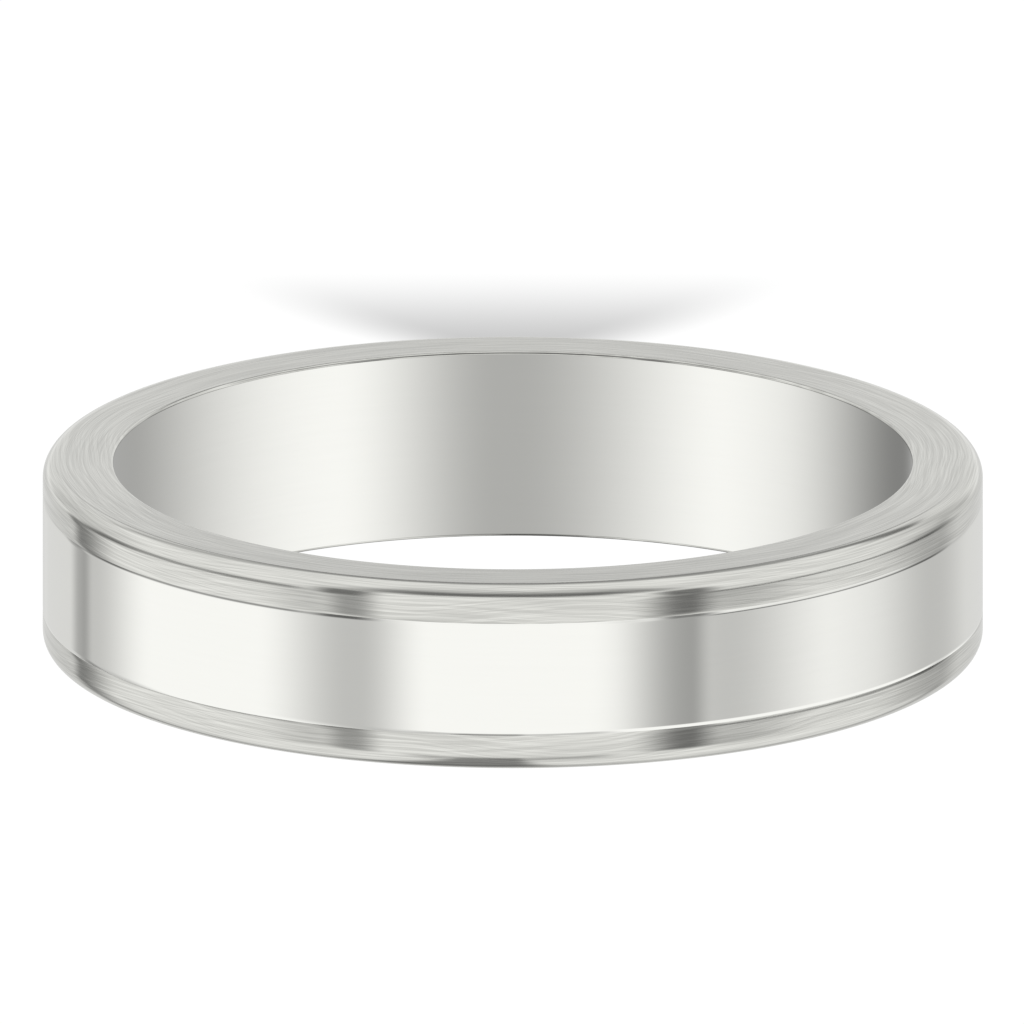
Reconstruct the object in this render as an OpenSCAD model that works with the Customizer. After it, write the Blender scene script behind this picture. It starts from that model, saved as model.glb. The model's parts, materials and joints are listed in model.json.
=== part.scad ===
// Two-finish wedding band: a polished sleeve carries a polished centre band
// between two satin edge rings. The axis of the finger is +Z, and the band
// lies on its lower side face at z = 0. All sizes are in millimetres.

/* [Finger] */
// Diameter of the finger bore
bore_d = 18.95; // [15:0.05:23]
// Radius of the soft edge where the bore meets each side face
rim_r = 0.07; // [0.02:0.01:0.2]

/* [Band] */
// Width of the whole band, along the finger
band_w = 4.55; // [4:0.05:8]
// Thickness of the whole wall, from bore to outer face
wall_t = 1.68; // [1.4:0.02:3]
// Radius of the rounded shoulder between outer face and side face
shoulder_r = 0.42; // [0.1:0.02:0.6]

/* [Centre band] */
// Width of the polished centre band, from seam to seam
centre_w = 2.76; // [1.6:0.02:3.2]
// Radius of the soft curve that takes the centre band down into the shallow groove at a seam
centre_seam_r = 0.33; // [0.2:0.01:0.8]
// Radius of the gentler curve on the edge ring's side of that groove
edge_seam_r = 0.60; // [0.2:0.01:0.8]
// Width of each curve, along the finger
seam_w = 0.095; // [0.04:0.005:0.15]

/* [Assembly] */
// Thickness of the inner sleeve
sleeve_t = 0.5; // [0.3:0.05:0.7]
// Radial thickness of the lip that centres each edge ring in the centre band
lip_t = 0.45; // [0.3:0.05:0.5]
// Height of that lip
lip_h = 0.3; // [0.2:0.05:0.6]
// Leg of the three-sided solder ring in the corner behind the lip
solder_leg = 0.15; // [0.08:0.01:0.18]

/* [Hidden] */

$fn = 120;

bore_r = bore_d / 2;
outer_r = bore_r + wall_t;
// Radius of the seat that the sleeve gives to the rings around it
seat_r = bore_r + sleeve_t;
lip_r = seat_r + lip_t;
edge_w = (band_w - centre_w) / 2;
// How far a cutting shape reaches past the face that it cuts
overcut = 0.2;

polished = [0.93, 0.93, 0.91];
satin = [0.69, 0.69, 0.66];
solder = [0.68, 0.68, 0.66];

// What rounding a corner at the origin takes off, for a section that fills +X +Y
module corner_waste(r) {
    difference() {
        translate([-overcut, -overcut]) square(r + overcut);
        translate([r, r]) circle(r);
    }
}

// What softening one edge of a seam takes off, for a section that fills -X -Y
module seam_waste(r) {
    difference() {
        translate([-overcut, -seam_w]) square(seam_w + overcut);
        translate([-r, -seam_w]) circle(r, $fn = 480);
    }
}

// Turns a half section, drawn with radius along X and height along Y, about the axis
module turned() {
    rotate_extrude() children();
}

// Puts a piece that is drawn for the lower side of the band on its upper side
module on_upper_side() {
    translate([0, 0, band_w]) mirror([0, 0, 1]) children();
}

module sleeve_section() {
    difference() {
        translate([bore_r, 0]) square([sleeve_t, band_w]);
        translate([bore_r, 0]) corner_waste(rim_r);
        translate([bore_r, band_w]) mirror([0, 1]) corner_waste(rim_r);
    }
}

module centre_section() {
    difference() {
        translate([seat_r, edge_w]) square([outer_r - seat_r, centre_w]);
        for (end = [0, 1])
            translate([0, end * band_w]) mirror([0, end]) {
                // Rebate for the lip of the edge ring
                translate([seat_r - overcut, edge_w - overcut])
                    square([lip_t + overcut, lip_h + overcut]);
                // Soft edge of the seam
                translate([outer_r, edge_w]) mirror([0, 1]) seam_waste(centre_seam_r);
            }
    }
}

module edge_section() {
    lip_top = edge_w + lip_h;
    difference() {
        union() {
            translate([seat_r, 0]) square([outer_r - seat_r, edge_w]);
            translate([seat_r, 0]) square([lip_t, lip_top]);
        }
        // Shoulder
        translate([outer_r, 0]) mirror([1, 0]) corner_waste(shoulder_r);
        // Soft edge of the seam
        translate([outer_r, edge_w]) seam_waste(edge_seam_r);
        // Bevel that leaves room for the solder
        translate([seat_r, lip_top]) solder_triangle();
    }
}

// Right triangle with one leg down the sleeve and one along the floor of the rebate
module solder_triangle() {
    polygon([[0, 0], [0, -solder_leg], [solder_leg, 0]]);
}

module edge_ring() {
    color(satin) turned() edge_section();
}

module solder_ring() {
    color(solder) turned() translate([seat_r, edge_w + lip_h]) solder_triangle();
}

module inner_sleeve() {
    color(polished) turned() sleeve_section();
}

module centre_band() {
    color(polished) turned() centre_section();
}

module lower_edge_ring() {
    edge_ring();
}

module upper_edge_ring() {
    on_upper_side() edge_ring();
}

module lower_solder_ring() {
    solder_ring();
}

module upper_solder_ring() {
    on_upper_side() solder_ring();
}

inner_sleeve();
centre_band();
lower_edge_ring();
upper_edge_ring();
lower_solder_ring();
upper_solder_ring();
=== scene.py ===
"""Looks of the two-finish wedding band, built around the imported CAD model.

Every piece is turned about +Z from the same section as its CAD node, with far finer rounds and exact
normals. Sizes come from the CAD nodes and the record. Angles are in degrees. The band's lengths are in
millimetres until they are multiplied by MM, and the studio's are in metres where a comment says so.
"""

import json
import math

import bpy
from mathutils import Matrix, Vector


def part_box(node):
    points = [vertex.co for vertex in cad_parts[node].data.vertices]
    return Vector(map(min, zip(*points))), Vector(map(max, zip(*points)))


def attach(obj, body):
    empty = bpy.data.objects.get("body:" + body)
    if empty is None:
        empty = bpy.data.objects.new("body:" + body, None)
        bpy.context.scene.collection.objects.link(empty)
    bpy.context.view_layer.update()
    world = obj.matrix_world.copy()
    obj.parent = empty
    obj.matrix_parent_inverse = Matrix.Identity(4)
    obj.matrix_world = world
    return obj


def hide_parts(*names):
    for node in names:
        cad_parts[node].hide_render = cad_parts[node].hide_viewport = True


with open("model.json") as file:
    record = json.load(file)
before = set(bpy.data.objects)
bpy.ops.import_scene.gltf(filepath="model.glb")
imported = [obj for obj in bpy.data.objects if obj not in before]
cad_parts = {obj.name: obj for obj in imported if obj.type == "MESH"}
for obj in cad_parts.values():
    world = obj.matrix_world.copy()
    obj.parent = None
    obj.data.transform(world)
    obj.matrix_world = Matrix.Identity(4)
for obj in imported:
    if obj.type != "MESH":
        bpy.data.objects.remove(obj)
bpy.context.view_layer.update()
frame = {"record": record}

MM = 0.001

# ---------------------------------------------------------------- sizes, in millimetres

bore = next(m for m in frame["record"]["mounts"] if m["name"] == "finger_bore")


def highest(node):
    """Highest corner of a CAD node, in millimetres."""
    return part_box(node)[1] / MM


def lowest(node):
    """Lowest corner of a CAD node, in millimetres."""
    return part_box(node)[0] / MM


BORE_R = bore["dims"]["r_mm"]
BAND_W = round(highest("inner_sleeve").z, 3)
RIM_R = (BAND_W - bore["dims"]["length_mm"]) / 2
SEAT_R = round(highest("inner_sleeve").x, 3)
OUTER_R = round(highest("centre_band").x, 3)
EDGE_W = round(lowest("centre_band").z, 3)
LIP_TOP = round(highest("lower_edge_ring").z, 3)
SOLDER_LEG = round(highest("lower_solder_ring").x, 3) - SEAT_R

# Sizes that the boxes of the CAD nodes don't show
LIP_WALL = 0.45
LIP_R = SEAT_R + LIP_WALL
SHOULDER_R = 0.42
# Both sides of a seam curve down into a shallow groove: radii and width of those curves
CENTRE_SEAM_R = 0.33
EDGE_SEAM_R = 0.60
SEAM_W = 0.095

# How finely the pieces are turned: steps round the ring, and steps along a rounded edge
SEGMENTS = 720
ROUND_STEPS = 14
TURNS = [math.tau * step / SEGMENTS for step in range(SEGMENTS)]

# ---------------------------------------------------------------- node helpers


class Graph:
    """A node tree with short calls for the nodes this script uses. Values may be sockets or numbers."""

    def __init__(self, tree):
        self.tree = tree
        tree.nodes.clear()

    def node(self, kind, **settings):
        made = self.tree.nodes.new(kind)
        for key, value in settings.items():
            setattr(made, key, value)
        return made

    def feed(self, socket, value):
        if isinstance(value, bpy.types.NodeSocket):
            self.tree.links.new(value, socket)
        else:
            socket.default_value = value

    def math(self, operation, *values):
        made = self.node("ShaderNodeMath", operation=operation)
        for socket, value in zip(made.inputs, values):
            self.feed(socket, value)
        return made.outputs[0]

    def vector_math(self, operation, *values):
        made = self.node("ShaderNodeVectorMath", operation=operation)
        for socket, value in zip(made.inputs, values):
            self.feed(socket, value)
        return made.outputs[0]

    def product(self, first, *others):
        for other in others:
            first = self.math("MULTIPLY", first, other)
        return first

    def combine(self, x, y, z):
        made = self.node("ShaderNodeCombineXYZ")
        for socket, value in zip(made.inputs, (x, y, z)):
            self.feed(socket, value)
        return made.outputs[0]

    def separate(self, vector):
        made = self.node("ShaderNodeSeparateXYZ")
        self.feed(made.inputs[0], vector)
        return made.outputs

    def ramp(self, value, low, high, to_low=0.0, to_high=1.0, smooth=True):
        """value from low to high becomes to_low to to_high, and stays there beyond."""
        made = self.node("ShaderNodeMapRange")
        made.interpolation_type = "SMOOTHSTEP" if smooth else "LINEAR"
        for name, given in (
            ("Value", value),
            ("From Min", low),
            ("From Max", high),
            ("To Min", to_low),
            ("To Max", to_high),
        ):
            self.feed(made.inputs[name], given)
        return made.outputs["Result"]

    def noise(self, vector, scale, detail=2.0, roughness=0.5):
        made = self.node("ShaderNodeTexNoise", noise_dimensions="3D")
        self.feed(made.inputs["Vector"], vector)
        made.inputs["Scale"].default_value = scale
        made.inputs["Detail"].default_value = detail
        made.inputs["Roughness"].default_value = roughness
        return made.outputs["Fac"]

    def tint(self, factor, dark, light):
        """dark where factor is 0 and light where it is 1. Sockets 6, 7 and 2 are the node's colours."""
        made = self.node("ShaderNodeMix", data_type="RGBA")
        self.feed(made.inputs[0], factor)
        made.inputs[6].default_value = (*dark, 1.0)
        made.inputs[7].default_value = (*light, 1.0)
        return made.outputs[2]


def new_material(name):
    material = bpy.data.materials.new(name)
    material.use_nodes = True
    return material, Graph(material.node_tree)


def place_in_mm(graph):
    """Object coordinates in millimetres, as x, y and z."""
    place = graph.node("ShaderNodeTexCoord").outputs["Object"]
    return graph.separate(graph.vector_math("MULTIPLY", place, (1 / MM, 1 / MM, 1 / MM)))


def radius_squared(graph, x, y):
    return graph.math("ADD", graph.math("MULTIPLY", x, x), graph.math("MULTIPLY", y, y))


# ---------------------------------------------------------------- metals

SATIN_DARK = (0.575, 0.575, 0.553)
SATIN_LIGHT = (0.785, 0.785, 0.757)
SATIN_ROUGHNESS = (0.12, 0.09)
SATIN_BUMP = 0.0006
# Stretch of the stroke noise over which the satin goes from dark to light
SATIN_CONTRAST = (0.40, 0.61)
POLISHED_DARK = (0.922, 0.922, 0.897)
POLISHED_LIGHT = (0.938, 0.938, 0.913)
POLISHED_ROUGHNESS = (0.07, 0.05)
SOLDER_DARK = (0.60, 0.60, 0.58)
SOLDER_LIGHT = (0.76, 0.76, 0.74)
SOLDER_ROUGHNESS = (0.38, 0.55)
SOLDER_BUMP = 0.01
SOLDER_GRAIN = 14.0
# Stretch that most of a noise lies in
NOISE_SPAN = (0.3, 0.7)
# Size of the slow noise that makes brush strokes wander
WANDER_SIZE = 8


def metal(graph, colour, roughness, normal=None, anisotropy=0.0, rotation=0.0):
    shader = graph.node("ShaderNodeBsdfPrincipled")
    shader.inputs["Metallic"].default_value = 1.0
    shader.inputs["Anisotropic"].default_value = anisotropy
    shader.inputs["Anisotropic Rotation"].default_value = rotation
    graph.feed(shader.inputs["Base Color"], colour)
    graph.feed(shader.inputs["Roughness"], roughness)
    if normal is not None:
        graph.feed(shader.inputs["Normal"], normal)
    if anisotropy:
        tangent = graph.node("ShaderNodeTangent", direction_type="RADIAL", axis="Z")
        graph.feed(shader.inputs["Tangent"], tangent.outputs[0])
    output = graph.node("ShaderNodeOutputMaterial")
    graph.feed(output.inputs["Surface"], shader.outputs[0])


def bump(graph, height, depth):
    made = graph.node("ShaderNodeBump")
    made.inputs["Strength"].default_value = 1.0
    made.inputs["Distance"].default_value = depth * MM
    graph.feed(made.inputs["Height"], height)
    return made.outputs[0]


def across_brushing(graph, x, y, z):
    """Distance across the brushing, which runs down the walls and across the end faces without a jump."""
    radius = graph.math("SQRT", radius_squared(graph, x, y))
    height = graph.math("ABSOLUTE", graph.math("SUBTRACT", z, BAND_W / 2))
    return graph.math("SUBTRACT", height, radius)


def strokes(graph, x, y, across, length, width, drift, seed):
    """Brush strokes that run round the ring, with crossings where a slow noise drifts them sideways."""
    wander = graph.noise(graph.combine(x, y, seed), 1 / WANDER_SIZE, detail=1.0)
    across = graph.math("ADD", across, graph.math("MULTIPLY", wander, drift))
    vector = graph.combine(
        graph.math("DIVIDE", x, length),
        graph.math("DIVIDE", y, length),
        graph.math("ADD", graph.math("DIVIDE", across, width), seed),
    )
    return graph.noise(vector, 1.0, detail=2.0, roughness=0.65)


def satin_metal():
    material, graph = new_material("satin_white_gold")
    x, y, z = place_in_mm(graph)
    across = across_brushing(graph, x, y, z)
    fine = strokes(graph, x, y, across, length=2.6, width=0.027, drift=0.8, seed=3.0)
    cross = strokes(graph, x, y, across, length=3.2, width=0.036, drift=-1.6, seed=11.0)
    both = graph.math("MULTIPLY", graph.math("ADD", fine, cross), 0.5)
    colour = graph.tint(graph.ramp(both, *SATIN_CONTRAST, smooth=False), SATIN_DARK, SATIN_LIGHT)
    roughness = graph.ramp(both, *NOISE_SPAN, *SATIN_ROUGHNESS, smooth=False)
    metal(graph, colour, roughness, bump(graph, both, SATIN_BUMP), anisotropy=0.8, rotation=0.25)
    return material


def polished_metal():
    material, graph = new_material("polished_white_gold")
    x, y, z = place_in_mm(graph)
    hairlines = strokes(graph, x, y, z, length=2.5, width=0.12, drift=0.3, seed=7.0)
    colour = graph.tint(hairlines, POLISHED_DARK, POLISHED_LIGHT)
    roughness = graph.ramp(hairlines, *NOISE_SPAN, *POLISHED_ROUGHNESS, smooth=False)
    metal(graph, colour, roughness)
    return material


def solder_metal():
    material, graph = new_material("dull_solder")
    x, y, z = place_in_mm(graph)
    grain = graph.noise(graph.combine(x, y, z), SOLDER_GRAIN, detail=4.0, roughness=0.6)
    colour = graph.tint(grain, SOLDER_DARK, SOLDER_LIGHT)
    roughness = graph.ramp(grain, *NOISE_SPAN, *SOLDER_ROUGHNESS)
    metal(graph, colour, roughness, bump(graph, grain, SOLDER_BUMP))
    return material


POLISHED = polished_metal()
SATIN = satin_metal()
SOLDER = solder_metal()

# ---------------------------------------------------------------- turned pieces
# A section is a list of stretches that run round it with the metal on their left, each with its finish.
# The first coordinate is the radius and the second the height.


def straight(start, end, finish):
    out_r, out_z = end[1] - start[1], start[0] - end[0]
    length = math.hypot(out_r, out_z)
    normal = (out_r / length, out_z / length)
    return finish, [(start, normal), (end, normal)]


def rounded(centre, radius, first, last, finish):
    """An outside round from one angle to another; 0 faces outward and 90 up."""
    points = []
    for step in range(ROUND_STEPS + 1):
        turn = math.radians(first + (last - first) * step / ROUND_STEPS)
        normal = (math.cos(turn), math.sin(turn))
        points.append(((centre[0] + radius * normal[0], centre[1] + radius * normal[1]), normal))
    return finish, points


def sleeve_section():
    top = BAND_W
    return [
        straight((BORE_R + RIM_R, 0), (SEAT_R, 0), SATIN),
        straight((SEAT_R, 0), (SEAT_R, top), POLISHED),
        straight((SEAT_R, top), (BORE_R + RIM_R, top), SATIN),
        rounded((BORE_R + RIM_R, top - RIM_R), RIM_R, 90, 180, SATIN),
        straight((BORE_R, top - RIM_R), (BORE_R, RIM_R), POLISHED),
        rounded((BORE_R + RIM_R, RIM_R), RIM_R, 180, 270, SATIN),
    ]


def seam_turn(radius):
    """Angle that the soft edge of a seam turns through."""
    return math.degrees(math.asin(SEAM_W / radius))


def seam_floor(radius):
    """Radius of the band at the bottom of that edge."""
    return OUTER_R - radius + math.sqrt(radius**2 - SEAM_W**2)


def centre_section():
    low, high = EDGE_W, BAND_W - EDGE_W
    seat_low, seat_high = LIP_TOP, BAND_W - LIP_TOP
    turn, groove, inset = seam_turn(CENTRE_SEAM_R), seam_floor(CENTRE_SEAM_R), OUTER_R - CENTRE_SEAM_R
    return [
        straight((LIP_R, low), (groove, low), POLISHED),
        rounded((inset, low + SEAM_W), CENTRE_SEAM_R, -turn, 0, POLISHED),
        straight((OUTER_R, low + SEAM_W), (OUTER_R, high - SEAM_W), POLISHED),
        rounded((inset, high - SEAM_W), CENTRE_SEAM_R, 0, turn, POLISHED),
        straight((groove, high), (LIP_R, high), POLISHED),
        straight((LIP_R, high), (LIP_R, seat_high), POLISHED),
        straight((LIP_R, seat_high), (SEAT_R, seat_high), POLISHED),
        straight((SEAT_R, seat_high), (SEAT_R, seat_low), POLISHED),
        straight((SEAT_R, seat_low), (LIP_R, seat_low), POLISHED),
        straight((LIP_R, seat_low), (LIP_R, low), POLISHED),
    ]


def edge_section():
    flat = OUTER_R - SHOULDER_R
    turn, groove, inset = seam_turn(EDGE_SEAM_R), seam_floor(EDGE_SEAM_R), OUTER_R - EDGE_SEAM_R
    bevel_r, bevel_z = SEAT_R + SOLDER_LEG, LIP_TOP - SOLDER_LEG
    return [
        straight((SEAT_R, 0), (flat, 0), SATIN),
        rounded((flat, SHOULDER_R), SHOULDER_R, -90, 0, SATIN),
        straight((OUTER_R, SHOULDER_R), (OUTER_R, EDGE_W - SEAM_W), SATIN),
        rounded((inset, EDGE_W - SEAM_W), EDGE_SEAM_R, 0, turn, SATIN),
        straight((groove, EDGE_W), (LIP_R, EDGE_W), POLISHED),
        straight((LIP_R, EDGE_W), (LIP_R, LIP_TOP), POLISHED),
        straight((LIP_R, LIP_TOP), (bevel_r, LIP_TOP), POLISHED),
        straight((bevel_r, LIP_TOP), (SEAT_R, bevel_z), POLISHED),
        straight((SEAT_R, bevel_z), (SEAT_R, 0), POLISHED),
    ]


def solder_section():
    corner, tip, foot = (SEAT_R, LIP_TOP), (SEAT_R + SOLDER_LEG, LIP_TOP), (SEAT_R, LIP_TOP - SOLDER_LEG)
    return [straight(foot, tip, SOLDER), straight(tip, corner, SOLDER), straight(corner, foot, SOLDER)]


def outline(section):
    """A section's points in order, and its stretches: finish, number of the first point, both normals."""
    corners, stretches = [], []
    for finish, points in section:
        for (point, normal), (_, next_normal) in zip(points, points[1:]):
            stretches.append((finish, len(corners), normal, next_normal))
            corners.append(point)
    return corners, stretches


def swung(normal, turn, flip):
    """A section's normal, turned round the ring."""
    out, up = normal
    return out * math.cos(turn), out * math.sin(turn), up * flip


def ring_faces(stretches, upside_down):
    """Faces of a turned piece, each with its finish and with the normal at every corner."""
    flip = -1 if upside_down else 1
    for finish, here, normal, next_normal in stretches:
        there = (here + 1) % len(stretches)
        for step in range(SEGMENTS):
            ahead = (step + 1) % SEGMENTS
            corners = [(here, step, normal), (here, ahead, normal)]
            corners += [(there, ahead, next_normal), (there, step, next_normal)]
            if upside_down:
                corners.reverse()
            face = [point * SEGMENTS + at for point, at, _ in corners]
            normals = [swung(at_corner, TURNS[at], flip) for _, at, at_corner in corners]
            yield finish, face, normals


def ring_vertices(points, upside_down):
    """Each point of a section, turned round the ring in SEGMENTS steps."""
    vertices = []
    for radius, height in points:
        z = BAND_W - height if upside_down else height
        vertices += [(radius * MM * math.cos(turn), radius * MM * math.sin(turn), z * MM) for turn in TURNS]
    return vertices


def turned(name, section, upside_down=False):
    """A mesh object turned about +Z from a section, with the section's own normals."""
    points, stretches = outline(section)
    finishes, faces, face_finishes, corner_normals = [], [], [], []
    for finish, face, normals in ring_faces(stretches, upside_down):
        if finish not in finishes:
            finishes.append(finish)
        faces.append(face)
        face_finishes.append(finishes.index(finish))
        corner_normals += normals
    mesh = bpy.data.meshes.new(name)
    mesh.from_pydata(ring_vertices(points, upside_down), [], faces)
    for finish in finishes:
        mesh.materials.append(finish)
    mesh.polygons.foreach_set("material_index", face_finishes)
    mesh.polygons.foreach_set("use_smooth", [True] * len(faces))
    mesh.normals_split_custom_set(corner_normals)
    made = bpy.data.objects.new(name, mesh)
    bpy.context.scene.collection.objects.link(made)
    return made


def ring_piece(name, node, section, upside_down=False):
    piece = turned(name, section, upside_down)
    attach(piece, "root")
    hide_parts(node)
    # The studio is set up so that the band mirrors only the lights, not itself
    piece.visible_glossy = False
    # The floor's material paints the soft shadow into its colour, so the pieces cast none
    piece.visible_diffuse = False
    piece.visible_shadow = False
    return piece


sleeve = ring_piece("sleeve_finished", "inner_sleeve", sleeve_section())
centre = ring_piece("centre_finished", "centre_band", centre_section())
edges = [
    ring_piece("lower_edge_finished", "lower_edge_ring", edge_section()),
    ring_piece("upper_edge_finished", "upper_edge_ring", edge_section(), upside_down=True),
]
solders = [
    ring_piece("lower_solder_finished", "lower_solder_ring", solder_section()),
    ring_piece("upper_solder_finished", "upper_solder_ring", solder_section(), upside_down=True),
]

# ---------------------------------------------------------------- studio
# Light tents around the band, each seen by some pieces only. A tent is white, and flags darken parts of it.
# A flag is (fall-in azimuths, fall-out azimuths, fall-in elevations, fall-out elevations, depth).
# Azimuth 0 is the front, where the camera is, and 90 is +X; a flag across the back uses 0 to 360.

CENTRE = Vector((0, 0, BAND_W / 2 * MM))
# In metres
TENT_R = 0.50
TENT_GAP = 0.02
TENT_WHITE = (1.0, 1.0, 0.985, 1.0)
# Elevations at which a flag comes in: straight below, and two of them under the horizon
LOW = (-91, -90)
UNDER = (-36, -20)
JUST_UNDER = (-25, -17)

OVERHEAD_FLAGS = [
    # Front edge of the overhead light
    ((-57, -33), (33, 57), (26, 37), (38, 90), 0.68),
    # Back edge of the overhead light: straight behind, then its arms to the right and the left
    ((173, 178), (182, 187), (15.5, 21), (27, 33), 0.66),
    ((166, 174), (184, 191), (27.5, 33), (36, 62), 0.66),
    ((138, 146), (166, 174), (30, 35), (38, 45), 0.74),
    ((152, 162), (168, 178), (38, 44), (46, 60), 0.50),
    ((183, 190), (200, 214), (29, 35), (42, 50), 0.40),
    # Upright edges of the front light, above the belt
    ((-53, -44), (-39, -30), (-12, 0), (22, 35), 0.78),
    ((32, 40), (45, 54), (-12, 0), (17, 32), 0.78),
    # Lower edges of the side lights
    ((-128, -116), (-56, -46), (-8, -1), (4, 12), 0.60),
    ((-85, -65), (-56, -46), (0, 6), (10, 20), 0.30),
    ((-134, -122), (-112, -98), (-10, -3), (0, 7), 0.48),
    ((46, 52), (120, 132), (-15, -10.5), (-8.5, -3), 0.68),
    # Dimmer walls beside the band, and one behind that the end faces mirror
    ((-162, -142), (-128, -100), (0, 5), (20, 38), 0.28),
    ((96, 136), (142, 156), (-3, 4), (26, 46), 0.28),
    ((104, 116), (126, 134), (-14, -9), (-2, 18), 0.36),
    ((135, 165), (195, 225), (0, 8), (28, 40), 0.16),
]

RAIL_BELT = [
    ((-66, -50), (-38, -30), UNDER, (-12, 0), 0.22),
    ((-48, -41), (-39, -31), UNDER, (-12, 0), 0.46),
    ((27, 42), (44, 53), UNDER, (-12, 0), 0.70),
    ((30, 46), (56, 82), UNDER, (-12, 0), 0.30),
    ((-138, -132), (-132, -112), UNDER, (-2, 4), 0.64),
    ((92, 128), (129, 142), UNDER, (-6, 4), 0.47),
    ((126, 140), (220, 250), LOW, (-6, 4), 0.26),
]

STRIP_BELT = [
    ((-66, -40), (-38, -20), LOW, (8, 22), 0.45),
    ((18, 42), (44, 50), JUST_UNDER, (-10, 0), 0.40),
    ((24, 46), (52, 86), JUST_UNDER, (-12, 0), 0.40),
    ((18, 30), (32, 40), (-10, 0), (8, 22), 0.22),
    ((-140, -133), (-131, -125), LOW, (-2, 4), 0.42),
    ((-134, -128), (-126, -100), LOW, (-2, 4), 0.20),
    ((98, 126), (128, 150), JUST_UNDER, (-6, 4), 0.20),
    ((80, 125), (190, 200), JUST_UNDER, (-6, 4), 0.29),
    ((190, 200), (235, 262), LOW, (-6, 4), 0.29),
    ((40, 60), (100, 160), JUST_UNDER, (-6, 4), 0.08),
    # Dimmer walls that the upper edge of the strip mirrors
    ((40, 60), (150, 170), (-12, -4), (20, 30), 0.12),
    ((-150, -130), (-70, -50), (-12, -4), (20, 30), 0.12),
]

BORE_BELT = [
    ((-66, 0), (4, 53), LOW, (-6, 4), 0.55),
    ((52, 148), (206, 302), LOW, (-6, 4), 0.60),
    ((176, 206), (212, 276), LOW, (-6, 4), 0.42),
    # Dim front half of the ceiling, which the rims mirror
    ((-110, -80), (80, 110), (22, 32), (80, 88), 0.55),
]


# The stand below the front light and the back edge of the table, where a direction of length 1 has
# these x (to the right), y (back) and z (up). Sides and ends are a fall-in and a fall-out.
STAND_SIDES = (-0.30, -0.17), (0.01, 0.09)
STAND_ENDS = (-0.92, -0.78), (0.36, 0.5)
STAND_HEIGHTS = (-0.43, -0.65)
STAND_DEPTH = 0.70
FOOT_SIDES = (-0.46, -0.28), (0.28, 0.42)
FOOT_ENDS = (-0.86, -0.78), (-0.66, -0.50)
FOOT_DEPTH = 0.40
TABLE_LINE = (0.36, 0.46), (0.51, 0.61)
TABLE_HEIGHTS = (-0.3, -0.45)
TABLE_BEND = 0.3
# The line is deeper to the left of the first x than to the right of the second
TABLE_TURN = (-0.1, 0.15)
TABLE_DEPTHS = (0.5, 0.32)


def window(graph, value, fall_in, fall_out):
    """1 between the two falls and 0 outside them."""
    return graph.math("MULTIPLY", graph.ramp(value, *fall_in), graph.ramp(value, *fall_out, 1.0, 0.0))


def below_the_light(graph, x, y, z):
    """The stand below the front light: a wide foot in front, and a dark strip back past the middle."""
    strip = graph.product(window(graph, x, *STAND_SIDES), window(graph, y, *STAND_ENDS))
    strip = graph.product(strip, graph.ramp(z, *STAND_HEIGHTS, 0.0, STAND_DEPTH))
    foot = graph.product(window(graph, x, *FOOT_SIDES), window(graph, y, *FOOT_ENDS), FOOT_DEPTH)
    return graph.math("SUBTRACT", 1.0, graph.math("MAXIMUM", strip, foot))


def table_edge(graph, x, y, z):
    """The back edge of the table, a dark line that bends away from the band on both sides."""
    bent = graph.math("SUBTRACT", y, graph.product(graph.math("ABSOLUTE", x), TABLE_BEND))
    line = graph.product(window(graph, bent, *TABLE_LINE), graph.ramp(z, *TABLE_HEIGHTS))
    depth = graph.ramp(x, *TABLE_TURN, *TABLE_DEPTHS)
    return graph.math("SUBTRACT", 1.0, graph.product(line, depth))


def tent_level(graph, flags):
    """Brightness of a tent, from the direction in which a point of it lies."""
    place = graph.node("ShaderNodeTexCoord").outputs["Object"]
    x, y, z = graph.separate(graph.vector_math("NORMALIZE", place))
    azimuth = graph.math("DEGREES", graph.math("ARCTAN2", x, graph.product(y, -1.0)))
    full_turn = graph.math("WRAP", azimuth, 360.0, 0.0)
    elevation = graph.math("DEGREES", graph.math("ARCSINE", z))
    level = graph.product(below_the_light(graph, x, y, z), table_edge(graph, x, y, z))
    for azimuth_in, azimuth_out, elevation_in, elevation_out, depth in flags:
        turn = full_turn if azimuth_out[1] > 180 else azimuth
        sides = window(graph, turn, azimuth_in, azimuth_out)
        ends = window(graph, elevation, elevation_in, elevation_out)
        level = graph.product(level, graph.math("SUBTRACT", 1.0, graph.product(sides, ends, depth)))
    return level


def tent_material(name, flags):
    """Light that lets through whatever lies behind it."""
    material, graph = new_material(name)
    emission = graph.node("ShaderNodeEmission")
    emission.inputs["Color"].default_value = TENT_WHITE
    graph.feed(emission.inputs["Strength"], tent_level(graph, flags))
    through = graph.node("ShaderNodeBsdfTransparent")
    both = graph.node("ShaderNodeAddShader")
    graph.feed(both.inputs[0], emission.outputs[0])
    graph.feed(both.inputs[1], through.outputs[0])
    output = graph.node("ShaderNodeOutputMaterial")
    graph.feed(output.inputs["Surface"], both.outputs[0])
    material.cycles.emission_sampling = "NONE"
    return material


def light_tent(name, radius, flags, receivers):
    """A large sphere that lights only the receivers' reflections."""
    bpy.ops.mesh.primitive_uv_sphere_add(segments=64, ring_count=32, radius=radius, location=CENTRE)
    tent = bpy.context.object
    tent.name = name
    tent.data.materials.append(tent_material(name + "_light", flags))
    tent.visible_camera = False
    tent.visible_diffuse = False
    tent.visible_shadow = False
    tent.visible_transmission = False
    tent.visible_volume_scatter = False
    linked = bpy.data.collections.new(name + "_receivers")
    for piece in receivers:
        linked.objects.link(piece)
    tent.light_linking.receiver_collection = linked


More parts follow.
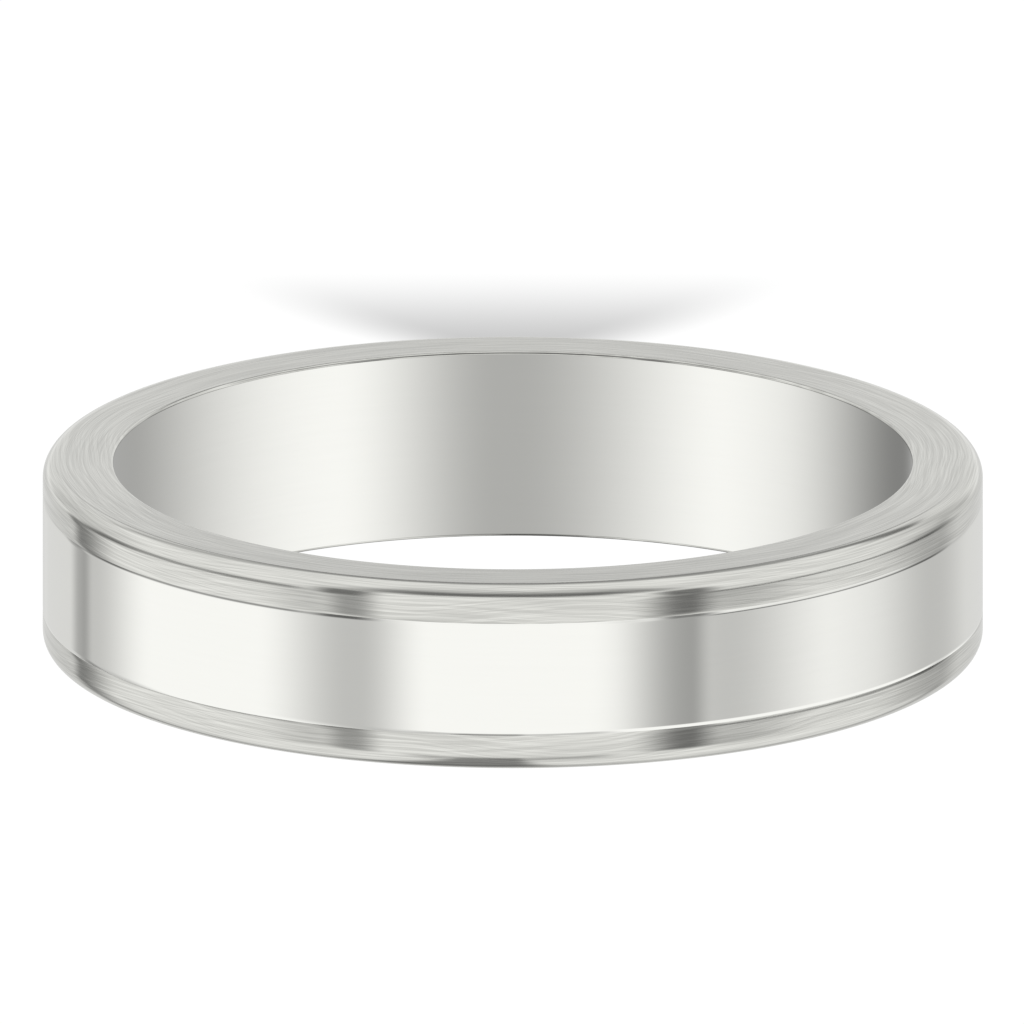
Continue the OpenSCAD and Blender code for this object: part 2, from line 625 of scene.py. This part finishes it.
light_tent("tent_for_edges", TENT_R, OVERHEAD_FLAGS + RAIL_BELT, edges + solders)
light_tent("tent_for_strip", TENT_R + TENT_GAP, OVERHEAD_FLAGS + STRIP_BELT, [centre])
light_tent("tent_for_bore", TENT_R + 2 * TENT_GAP, OVERHEAD_FLAGS + BORE_BELT, [sleeve])

# ---------------------------------------------------------------- floor and room
# The floor's soft shadow is painted shade in the floor's colour, not cast by a lamp. It runs along +y, away
# behind the band. Its lengths are in millimetres from the axis.

SHADOW_START, SHADOW_WAIST, SHADOW_END = 8.0, 25.5, 33.6
SHADOW_DEPTH = 0.45
# Part of the depth that the shadow has at its start
START_SHARE = 0.25
SHADOW_BLUR = 1.6
SHADOW_ASIDE = 0.04
# Where the shadow narrows, and its half widths there
NARROWING = (18.0, 26.5)
NARROWING_WIDTHS = (7.0, 1.2)
# Where it widens to a crescent, and by which power of the way along
WIDENING = (25.4, 32.0)
WIDENING_POWER = 0.6
CRESCENT_HALF_WIDTH = 6.3
# A skirt of painted shadow hugs the band's back
SKIRT_W = 3.5
SKIRT_DEPTH = 0.4
# Both start this far inside the band's outline, and fade out towards the front and the sides
UNDER_BAND = 0.5
BACK_FADE = (1.0, 7.0)
SIDE_FADE = (8.0, 11.0)

# In metres
FLOOR_SIZE = 6.0
FLOOR_GAP = 0.002 * MM
FLOOR_WHITE = (0.9, 0.9, 0.9)
# Colour that the floor's painted shadow darkens it towards
BLACK = (0.0, 0.0, 0.0)
ROOM_STRENGTH = 1.14


def between_shadow_sides(graph, x, y):
    """1 between the soft sides of the painted shadow, which narrows to its waist and widens to a crescent.
    """
    narrowing = graph.ramp(y, *NARROWING, *NARROWING_WIDTHS, smooth=False)
    widening = graph.math("POWER", graph.ramp(y, *WIDENING, smooth=False), WIDENING_POWER)
    half_width = graph.math("MAXIMUM", narrowing, graph.product(widening, CRESCENT_HALF_WIDTH))
    aside = graph.math("ABSOLUTE", graph.math("ADD", x, SHADOW_ASIDE))
    inner = graph.math("SUBTRACT", half_width, SHADOW_BLUR)
    outer = graph.math("ADD", half_width, SHADOW_BLUR)
    return graph.ramp(aside, inner, outer, 1.0, 0.0)


def painted_floor_shadow(graph):
    """How much the floor's colour is darkened by painted shade: a painted shadow behind the band, and a
    soft painted skirt of shadow around its back.
    """
    x, y, _ = place_in_mm(graph)
    start = graph.ramp(y, SHADOW_START, SHADOW_WAIST, START_SHARE, 1.0)
    end = graph.ramp(y, SHADOW_WAIST, SHADOW_END, SHADOW_DEPTH, 0.0)
    shadow = graph.product(start, end, between_shadow_sides(graph, x, y))
    squared = radius_squared(graph, x, y)
    skirt = graph.ramp(graph.math("SQRT", squared), OUTER_R, OUTER_R + SKIRT_W, SKIRT_DEPTH, 0.0)
    shade = graph.math("MAXIMUM", shadow, skirt)
    outside = graph.math("GREATER_THAN", squared, (OUTER_R - UNDER_BAND) ** 2)
    behind = graph.ramp(y, *BACK_FADE)
    not_beside = graph.ramp(graph.math("ABSOLUTE", x), *SIDE_FADE, 1.0, 0.0)
    return graph.product(shade, outside, behind, not_beside)


def white_floor():
    """A plain white sweep, lit to pure white, with a soft shadow painted into its colour. It isn't seen in
    the metal.
    """
    bpy.ops.mesh.primitive_plane_add(size=FLOOR_SIZE, location=(0, 0, -FLOOR_GAP))
    floor = bpy.context.object
    floor.name = "floor"
    material, graph = new_material("white_floor")
    shader = graph.node("ShaderNodeBsdfDiffuse")
    # The painted shadow darkens the floor's colour from white towards black
    graph.feed(shader.inputs["Color"], graph.tint(painted_floor_shadow(graph), FLOOR_WHITE, BLACK))
    output = graph.node("ShaderNodeOutputMaterial")
    graph.feed(output.inputs["Surface"], shader.outputs[0])
    floor.data.materials.append(material)
    floor.visible_glossy = False


def room_light():
    """White light from all round for the floor. It isn't seen in the metal."""
    world = bpy.data.worlds.new("room")
    bpy.context.scene.world = world
    world.use_nodes = True
    graph = Graph(world.node_tree)
    background = graph.node("ShaderNodeBackground")
    background.inputs["Color"].default_value = (1, 1, 1, 1)
    background.inputs["Strength"].default_value = ROOM_STRENGTH
    output = graph.node("ShaderNodeOutputWorld")
    graph.feed(output.inputs["Surface"], background.outputs[0])
    world.cycles_visibility.glossy = False


white_floor()
room_light()

# ---------------------------------------------------------------- camera

VIEW_ELEVATION = 15.75
# In metres
VIEW_WIDTH = 24.3 * MM
VIEW_DISTANCE = 0.2
VIEW_NEAREST = 0.001
VIEW_FARTHEST = 10.0
# How far the band's middle sits below and right of the picture's middle
DROP = 0.960 * MM
ASIDE = 0.0185 * MM


def camera():
    tilt = math.radians(VIEW_ELEVATION)
    back = Vector((0, -math.cos(tilt), math.sin(tilt)))
    up = Vector((0, math.sin(tilt), math.cos(tilt)))
    right = Vector((1, 0, 0))
    data = bpy.data.cameras.new("camera")
    data.type = "ORTHO"
    data.ortho_scale = VIEW_WIDTH
    data.clip_start = VIEW_NEAREST
    data.clip_end = VIEW_FARTHEST
    made = bpy.data.objects.new("camera", data)
    made.location = CENTRE + up * DROP - right * ASIDE + back * VIEW_DISTANCE
    made.rotation_mode = "QUATERNION"
    made.rotation_quaternion = (-back).to_track_quat("-Z", "Y")
    bpy.context.scene.collection.objects.link(made)
    bpy.context.scene.camera = made


camera()

scene = bpy.context.scene
scene.view_settings.view_transform = "Standard"
scene.view_settings.look = "None"
